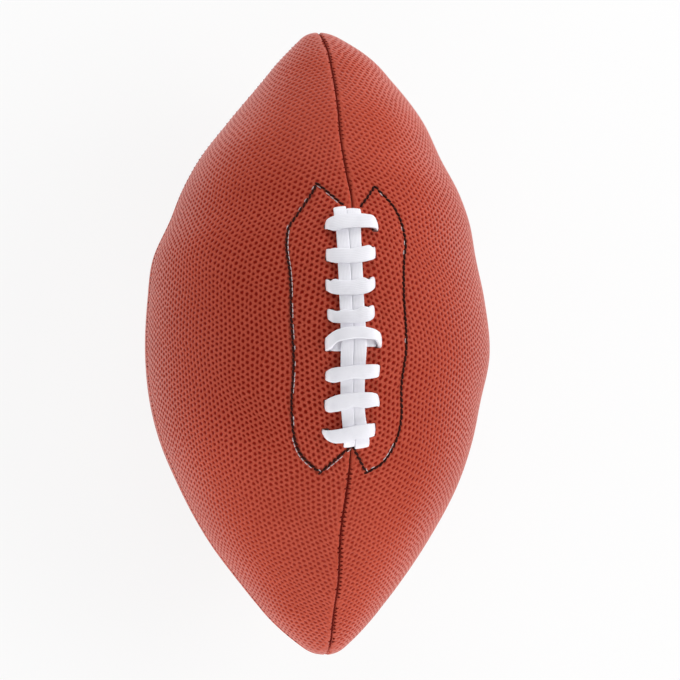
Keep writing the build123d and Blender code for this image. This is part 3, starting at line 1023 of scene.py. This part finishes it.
def lace_crossing(left, right, lift, upper, lower):
    """One crossing, out of the left hole, over the runs and into the right hole."""
    half = [(out / CROSSING_WIDE, height + share * lift / 1000) for out, height, share in CROSSING_HALF]
    side_view = [(-out, height) for out, height in half[:0:-1]] + half
    path = even_path([(out * CROSSING_REACH, 0, height) for out, height in side_view], 96)
    share = np.clip(path[:, 0] / CROSSING_REACH, -1, 1)
    path[:, 0] = np.where(share < 0, -share * (left + FOLD), share * (right - FOLD)) / 1000
    share = np.where(path[:, 2] < DIVE, np.sign(share), share)
    shares = np.array(EDGE_SHARES)
    high = smooth_through(share, shares, np.array(upper)) / 1000
    low = smooth_through(share, shares, np.array(lower)) / 1000
    path[:, 1] = walk_to((high + low) / 2)
    sideways = np.tile((0.0, 1.0, 0.0), (len(path), 1))
    return round_strip(lay_strip(path, sideways, high - low, LACE_CROWN))


strips = [lace_crossing(*row) for row in (*CROSSINGS, LOWER_STRIP)]
print("crossings and lower strip:", len(strips))

# %% [markdown]
# The two runs lie side by side over the seam and turn down into the leather at both ends. They rise a
# little over the second strip. Behind the leather the strip goes straight from hole to hole, which is out
# of sight, but a lace that only showed on top would be loose ends.

# %% Runs, the strip behind the leather and the whole lace
RUN_HEIGHT = 0.00125
RUN_CROWN = 0.00020
RUN_END = 0.008
SLANT_LENGTH = 0.006
HUMP_PLACE = -0.0075
HUMP_LENGTH = 0.006
HUMP_RISE = 0.0009
LACE_WIDTH = 0.0056
# Across and along: where the strip goes in at the upper and the lower end of the runs
UPPER_NOTCH = (-0.0055, 0.0500)
LOWER_NOTCH = (0.0045, -0.0500)
# Way back from the end of a run, and height: how its end turns down
RUN_TURN = (
    (0.0030, RUN_HEIGHT),
    (0.0012, RUN_HEIGHT - 0.0001),
    (0.0002, 0.0006),
    (-0.0001, -0.0008),
    (0.0, -0.0030),
    (0.0, UNDER),
)


def lace_run(side):
    """One of the two strips along the seam, turned down at both ends."""
    low, low_slant, high, high_slant = RUN_ENDS[side]
    low = float(walk_to(low / 1000))
    high = float(walk_to(high / 1000))
    corners = [(0, low + back, height) for back, height in RUN_TURN[::-1]]
    corners += [(0, along, RUN_HEIGHT) for along in np.linspace(low + RUN_END, high - RUN_END, 12)]
    corners += [(0, high - back, height) for back, height in RUN_TURN]
    path = even_path(corners, 100)
    rows = np.array(RUN_ROWS) / 1000
    column = 1 if side < 0 else 3
    along = path[:, 1]
    path[:, 0] = smooth_through(along, rows[:, 0], rows[:, column])
    path[:, 2] += HUMP_RISE * np.exp(-(((along - HUMP_PLACE) / HUMP_LENGTH) ** 2))
    widths = smooth_through(along, rows[:, 0], rows[:, column + 1])
    slant = np.where(along < 0, low_slant, high_slant)
    slant *= np.clip(1 - np.minimum(along - low, high - along) / SLANT_LENGTH, 0, 1)
    sideways = np.column_stack([-np.ones(len(path)), -slant, np.zeros(len(path))])
    return round_strip(lay_strip(path, sideways, widths, RUN_CROWN))


def lace_under(start, end):
    """Straight stretch of the strip behind the leather, between two holes."""
    path = np.linspace((*start[:2], UNDER), (*end[:2], UNDER), 12)
    ahead = (path[-1] - path[0]) / np.linalg.norm(path[-1] - path[0])
    sideways = np.tile(np.cross((0.0, 0.0, 1.0), ahead), (len(path), 1))
    return round_strip(lay_strip(path, sideways, np.full(len(path), LACE_WIDTH), LACE_CROWN))


right_holes = hole_places(1)
left_holes = hole_places(-1)
strips += [lace_run(1), lace_run(-1)]
strips += [lace_under(a, b) for a, b in zip(right_holes[:-1], left_holes[1:])]
strips += [lace_under(UPPER_NOTCH, left_holes[0])]
strips += [lace_under(LOWER_NOTCH, right_holes[-1])]
lace = join(strips, "lace_strip")
roll_on(lace, 0.0)
smooth(lace, 40)
hand_in(lace, lace_white, "lace", "lace")

# %% [markdown]
# ## Stitches of the stay
# The thread goes down and up through the leather, so that short bows lie on it, nearly end to end. One bow
# is modelled from a sphere primitive, drawn long and pressed down at its ends, and then copied along the
# line. A bow of few faces is enough, because there are hundreds of them.

# %% Copies along a line
# Powers under 1 make the bow fuller than a ball drawn long: it keeps its thickness nearly to the ends
BOW_SPREAD = 0.8
BOW_FULLNESS = 0.55
BOW_TIP = 0.05


def thread_bow(length, thick, dip):
    """One bow of thread along x, with its ends pulled into the leather."""
    bpy.ops.mesh.primitive_uv_sphere_add(segments=8, ring_count=6, radius=0.5, rotation=(0, math.pi / 2, 0))
    bow = bpy.context.object
    fix_size(bow, (1, 1, 1))
    shape = points_of(bow)
    full = np.sign(shape[:, 0]) * np.abs(2 * shape[:, 0]) ** BOW_SPREAD / 2
    round_off = np.sqrt(np.maximum(0.25 - shape[:, 0] ** 2, 0)) * 2
    fatter = round_off**BOW_FULLNESS / np.maximum(round_off, BOW_TIP)
    fatter = np.where(round_off > BOW_TIP, fatter, 1)
    shape[:, 0] = full * length
    shape[:, 1] *= fatter * thick
    shape[:, 2] = shape[:, 2] * fatter * thick - dip * (2 * full) ** 2
    put_points(bow, shape)
    return bow


def copies(pattern, places, name):
    """One object of many copies: each place is a point, a turn about z and a lift."""
    shape = points_of(pattern)
    made = []
    for across, along, turn, height in places:
        copy = pattern.copy()
        copy.data = pattern.data.copy()
        bpy.context.collection.objects.link(copy)
        spin = np.array(Matrix.Rotation(turn, 3, "Z"))
        put_points(copy, shape @ spin.T + (across, along, height))
        made.append(copy)
    bpy.data.objects.remove(pattern)
    return join(made, name)


print("stitch tools ready")

# %% [markdown]
# The places of the stitches come from the stitch line: evenly along it, turned as it turns, and moved
# inward of it for a second thread.

# %% Places along the stitch line
STITCH_PITCH = 0.0025
LINE_STEPS = 400


def places_on_line(side, pitch):
    """How many places fit along one stitch line."""
    return round(line_length(stay_line(side, LINE_STEPS)) / pitch)


def stay_places(side, count, inward, height):
    """Places along one stitch line, moved inward, with the turn of the line at each."""
    line = stay_line(side, LINE_STEPS) * (side, 1)
    run = np.linspace(0, 1, LINE_STEPS)
    share = (np.arange(count) + 0.5) / count
    across = np.interp(share, run, line[:, 0])
    along = np.interp(share, run, line[:, 1])
    ahead = np.stack([np.gradient(line[:, 0]), np.gradient(line[:, 1])], axis=1)
    turn = np.arctan2(np.interp(share, run, ahead[:, 1]), np.interp(share, run, ahead[:, 0]))
    inner = np.column_stack([side * inward * np.sin(turn), -side * inward * np.cos(turn)])
    moved = np.column_stack([across, along]) + inner
    return [(a, b, t, height) for (a, b), t in zip(moved, turn)]


for side in STAY_LINES:
    print(f"stitches on side {side}: {places_on_line(side, STITCH_PITCH)}")

# %% [markdown]
# Here and there the white thread from below was pulled up, and lies beside the dark one as thin dashes. A
# few rows say where, by the share of the way along the line from its upper end, and how many of them show.

# %% Stay stitches and white dashes
DASH_PITCH = 0.0023
STITCH_HEIGHT = -0.00010
# The stitches lie askew to their line, by a turn in radians between these two
STITCH_SKEW = (0.14, 0.34)
# Side, start and end share, way inward and height in millimetres, and how many of the dashes show
DASH_ROWS = (
    (-1, 0.015, 0.085, 0.95, -0.08, 0.9),
    (-1, 0.10, 0.23, -0.70, -0.18, 0.25),
    (-1, 0.235, 0.50, 0.64, -0.18, 0.65),
    (-1, 0.50, 0.77, 0.64, -0.19, 0.5),
    (-1, 0.775, 0.87, -0.80, -0.08, 0.9),
    (-1, 0.885, 0.905, 0.85, -0.05, 1.0),
    (-1, 0.912, 0.995, -0.85, -0.05, 0.95),
    (1, 0.08, 0.22, 0.64, -0.19, 0.4),
    (1, 0.24, 0.30, 0.66, -0.17, 0.5),
    (1, 0.46, 0.58, 0.66, -0.18, 0.45),
    (1, 0.80, 0.93, 0.80, -0.08, 0.85),
)


def dash_places(side, chance):
    """Places of the white dashes beside one stitch line."""
    count = places_on_line(side, DASH_PITCH)
    places = []
    for row_side, start, end, inward, height, shown in DASH_ROWS:
        if row_side == side:
            row = stay_places(side, count, inward / 1000, height / 1000)
            for number in range(round(start * count), round(end * count)):
                if chance.random() < shown:
                    places.append(row[number])
    return places


def lay_row(bow, places, name, finish, slot, node):
    """Copy a bow to its places, roll the row onto the ball and give it its finish."""
    row = copies(bow, places, name)
    roll_on(row, 0.0)
    smooth(row, 60)
    hand_in(row, finish, slot, node)


for side, word in ((1, "right"), (-1, "left")):
    chance = np.random.default_rng(5 + side)
    places = stay_places(side, places_on_line(side, STITCH_PITCH), 0.0, STITCH_HEIGHT)
    places = [(a, b, t + chance.uniform(*STITCH_SKEW), h) for a, b, t, h in places]
    bow = thread_bow(length=0.0026, thick=0.00105, dip=0.00022)
    lay_row(bow, places, f"stay_stitches_{word}", dark_thread, "stay_thread", f"stay_thread_{word}")
    places = dash_places(side, chance)
    bow = thread_bow(length=0.0020, thick=0.00038, dip=0.00008)
    lay_row(bow, places, f"stay_dashes_{word}", white_thread, "bobbin_thread", f"stay_bobbin_{word}")

# %% [markdown]
# ## Seams
# The panels are sewn to each other from inside, and the thread shows as small uneven ticks at the panels'
# edges, more of them on the right-hand one, with a dark line between the two. The line is partly thread and
# partly painted shade of the gap between the panels, so the seam finish is the dark red of shaded leather. It
# is a thin cylinder, divided along its length so that it can follow the ball, and the ticks are bows of
# thread laid across.

# %% Seam line
SEAM_SUNK = 0.0010
SEAM_RINGS = 60


def seam_line(low, high, radius):
    """Thin cylinder along y between two places, with enough rings to bend."""
    lying = {"depth": high - low, "rotation": (math.pi / 2, 0, 0)}
    bpy.ops.mesh.primitive_cylinder_add(vertices=8, radius=radius, **lying)
    line = bpy.context.object
    line.location = (0, (low + high) / 2, -SEAM_SUNK)
    fix_size(line, (1, 1, 1))
    ends = points_of(line)[:, 1]
    edges = line.data.edges
    lengthwise = [abs(ends[edge.vertices[0]] - ends[edge.vertices[1]]) > radius * 4 for edge in edges]
    edit_picked(line, "edges", lengthwise)
    bpy.ops.mesh.subdivide(number_cuts=SEAM_RINGS)
    done()
    return line


print(f"seam line {SEAM_SUNK * 1000:.1f} mm deep, with {SEAM_RINGS} rings")

# %% [markdown]
# A chance from a seeded generator decides which ticks show and how each lies, so the seam looks sewn and
# is still the same on every run. The lower half of the lace seam is sewn with a heavier thread.

# %% Seam stitching
SEAM_END = 0.1365
LACE_END = 0.0575
TICK_PITCH = 0.0022
TICK_TILT = 22
TICK_HEIGHT = -0.00010
TICK_SHIFT = 0.0003
TICK_SKEW = 0.25
# Side of the seam, length, and how many of the ticks show
TICK_ROWS = ((1, 0.0021, 0.9), (-1, 0.0013, 0.35))
# Name, start and end along the ball, place in quarters of a turn from the lace, and radius of the thread
SEAMS = (
    ("lace_top", LACE_END, SEAM_END, 0, 0.00038),
    ("lace_bottom", -SEAM_END, -LACE_END, 0, 0.00058),
    ("right", -SEAM_END, SEAM_END, 1, 0.00038),
    ("back", -SEAM_END, SEAM_END, 2, 0.00038),
    ("left", -SEAM_END, SEAM_END, 3, 0.00038),
)


def tick_row(side, length, shown, thick, start, end, chance):
    """Ticks of thread on one side of a seam."""
    tick = thread_bow(length=length, thick=1.2 * thick, dip=0.0001)
    tilt = np.array(Matrix.Rotation(math.radians(TICK_TILT * side), 3, "Y"))
    put_points(tick, points_of(tick) @ tilt.T)
    places = []
    for along in np.arange(start + 0.002, end - 0.001, TICK_PITCH):
        if chance.random() < shown:
            across = side * (length / 2 + chance.uniform(0.0, TICK_SHIFT))
            places.append((across, along, chance.uniform(-TICK_SKEW, TICK_SKEW), TICK_HEIGHT))
    return copies(tick, places, "ticks")


for part, low, high, quarters, thick in SEAMS:
    turn = quarters * QUARTER
    start = float(walk_to(low))
    end = float(walk_to(high))
    chance = np.random.default_rng(round(abs(1000 * start)) + round(10 * turn))
    # The seam line stands partly for thread and partly for painted shade at the bottom of the gap
    rows = [seam_line(start, end, thick)]
    rows += [tick_row(side, length, shown, thick, start, end, chance) for side, length, shown in TICK_ROWS]
    seam = join(rows, f"seam_{part}")
    roll_on(seam, turn)
    smooth(seam, 60)
    hand_in(seam, seam_thread, "seam_thread", f"seam_thread_{part}")

# %% [markdown]
# ## Inside the cover
# The lining, the stays, the tongue under the lace, the bladder and its valve keep the shape of their
# solids. Each is copied, its loose triangles are merged, and it gets the same lean as the leather, so that
# it stays under it. The valve shows from behind, in its hole in the right back panel.

# %% Inner pieces
INNER = {
    "lining_lace_right": (cotton, "lining"),
    "lining_lace_left": (cotton, "lining"),
    "lining_back_right": (cotton, "lining"),
    "lining_back_left": (cotton, "lining"),
    "stay_right": (canvas, "stay"),
    "stay_left": (canvas, "stay"),
    "lace_tongue": (tongue_rubber, "tongue"),
    "bladder": (bladder_rubber, "bladder"),
    "valve_body": (valve_rubber, "valve"),
    "valve_plug": (plug_rubber, "valve_plug"),
}
MERGE_DISTANCE = 0.00001


def inner_piece(node):
    """Merged copy of a solid, leaning with the ball."""
    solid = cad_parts[node]
    piece = solid.copy()
    piece.data = solid.data.copy()
    piece.name = f"inner_{node}"
    piece.parent = None
    piece.matrix_world = Matrix.Identity(4)
    bpy.context.collection.objects.link(piece)
    piece.hide_render = False
    piece.hide_viewport = False
    edit_all(piece)
    bpy.ops.mesh.remove_doubles(threshold=MERGE_DISTANCE)
    done()
    put_points(piece, lean(points_of(piece)))
    smooth(piece, 30)
    return piece


for node, (finish, slot_name) in INNER.items():
    hand_in(inner_piece(node), finish, slot_name, node)

# %% [markdown]
# ## Floor, light and camera
# The ball lies on a white floor with its lace up and is seen from above. Soft boxes stand round it, low on
# three sides and higher and stronger on the right, so the rim of the ball is lighter than its middle.
# To the camera the floor is mostly plain white, so that the shadow on it stays faint. The world is white to
# the eye and in reflections, but lights the ball only softly: Light Path tells these rays apart.

# %% Floor and surroundings
FLOOR_DROP = 0.0006
FLOOR_WHITE = 0.85
AMBIENT = 0.27


def seen_directly(tree):
    """1 where the eye, a reflection or glass looks at the background, 0 where it lights the ball."""
    rays = tree.nodes.new("ShaderNodeLightPath").outputs
    return Wire(rays["Is Camera Ray"]) + Wire(rays["Is Glossy Ray"]) + Wire(rays["Is Transmission Ray"])


bpy.ops.mesh.primitive_plane_add(size=6, location=(0, 0, -GIRTH_RADIUS - FLOOR_DROP))
floor = bpy.context.object
floor.name = "white_floor"
finish, place, shader = new_finish("floor_white")
soft = noise(place, 2.0)
place.plug(shader.inputs["Base Color"], mix(place, soft, (0.80, 0.80, 0.80, 1), (0.84, 0.84, 0.84, 1)))
shader.inputs["Roughness"].default_value = 0.9
seen = seen_directly(finish.node_tree)
glow = place.add("ShaderNodeEmission", {}, {"Color": (1, 1, 1, 1), "Strength": 1.0})
blend = place.add("ShaderNodeMixShader", {}, {0: FLOOR_WHITE * seen, 1: Wire(shader.outputs[0]), 2: glow})
place.plug(finish.node_tree.nodes["Material Output"].inputs["Surface"], blend)
floor.data.materials.append(finish)

world = bpy.data.worlds.new("studio")
world.use_nodes = True
bpy.context.scene.world = world
sky = world.node_tree.nodes["Background"]
seen = seen_directly(world.node_tree)
seen.plug(sky.inputs["Strength"], AMBIENT + (1 - AMBIENT) * seen)
sky.inputs["Color"].default_value = (1, 1, 1, 1)
print("floor and surroundings ready")

# %% [markdown]
# Each soft box is a square area lamp that faces the ball. A large lamp near by gives the soft edge of a
# studio light, where a small one would draw a hard shadow of every stitch.

# %% Soft boxes
# Name, place and size in metres, and power in watts
SOFT_BOXES = (
    ("box_right", (0.88, 0.1, 0.64), 0.9, 9.7),
    ("box_left", (-0.9, -0.1, 0.05), 0.5, 4.4),
    ("box_top", (0.0, 1.05, 0.40), 0.7, 5.9),
    ("box_bottom", (-0.05, -1.05, 0.17), 0.7, 8.6),
)


def facing(place, up):
    """Where something stands that looks from its place at the ball."""
    place = np.array(place, float)
    back = place / np.linalg.norm(place)
    right = np.cross(up, back)
    right /= np.linalg.norm(right)
    above = np.cross(back, right)
    stand = np.identity(4)
    stand[:3, :4] = np.stack([right, above, back, place], axis=1)
    return Matrix(stand.tolist())


for name, place, size, watts in SOFT_BOXES:
    light = bpy.data.lights.new(name, "AREA")
    light.energy = watts
    light.size = size
    box = bpy.data.objects.new(name, light)
    bpy.context.collection.objects.link(box)
    box.matrix_world = facing(place, (0, 0, 1))
print("soft boxes:", len(SOFT_BOXES))

# %% [markdown]
# The camera looks down on the lace from far away through a long lens, so that the ball keeps its true
# outline. It leans a little to the left of straight above and towards the lower nose, and the lens is
# shifted sideways, because the ball doesn't lie quite in the middle of the picture.

# %% Camera
CAMERA_FAR = 1.2
CAMERA_ROLL = math.radians(11.2)
CAMERA_RISE = math.radians(-4.8)
PICTURE = 680
lens = bpy.data.cameras.new("camera")
lens.lens = 141.6
lens.sensor_width = 36.0
lens.shift_x = 23 / PICTURE
lens.shift_y = 1 / PICTURE
camera = bpy.data.objects.new("camera", lens)
bpy.context.collection.objects.link(camera)
flat_far = CAMERA_FAR * math.cos(CAMERA_RISE)
stand_x = -flat_far * math.sin(CAMERA_ROLL)
stand_y = CAMERA_FAR * math.sin(CAMERA_RISE)
stand_z = flat_far * math.cos(CAMERA_ROLL)
camera.matrix_world = facing((stand_x, stand_y, stand_z), (0, 1, 0))
bpy.context.scene.camera = camera
bpy.context.scene.view_settings.view_transform = "Standard"
print(f"camera at {stand_x:.3f} {stand_y:.3f} {stand_z:.3f}")
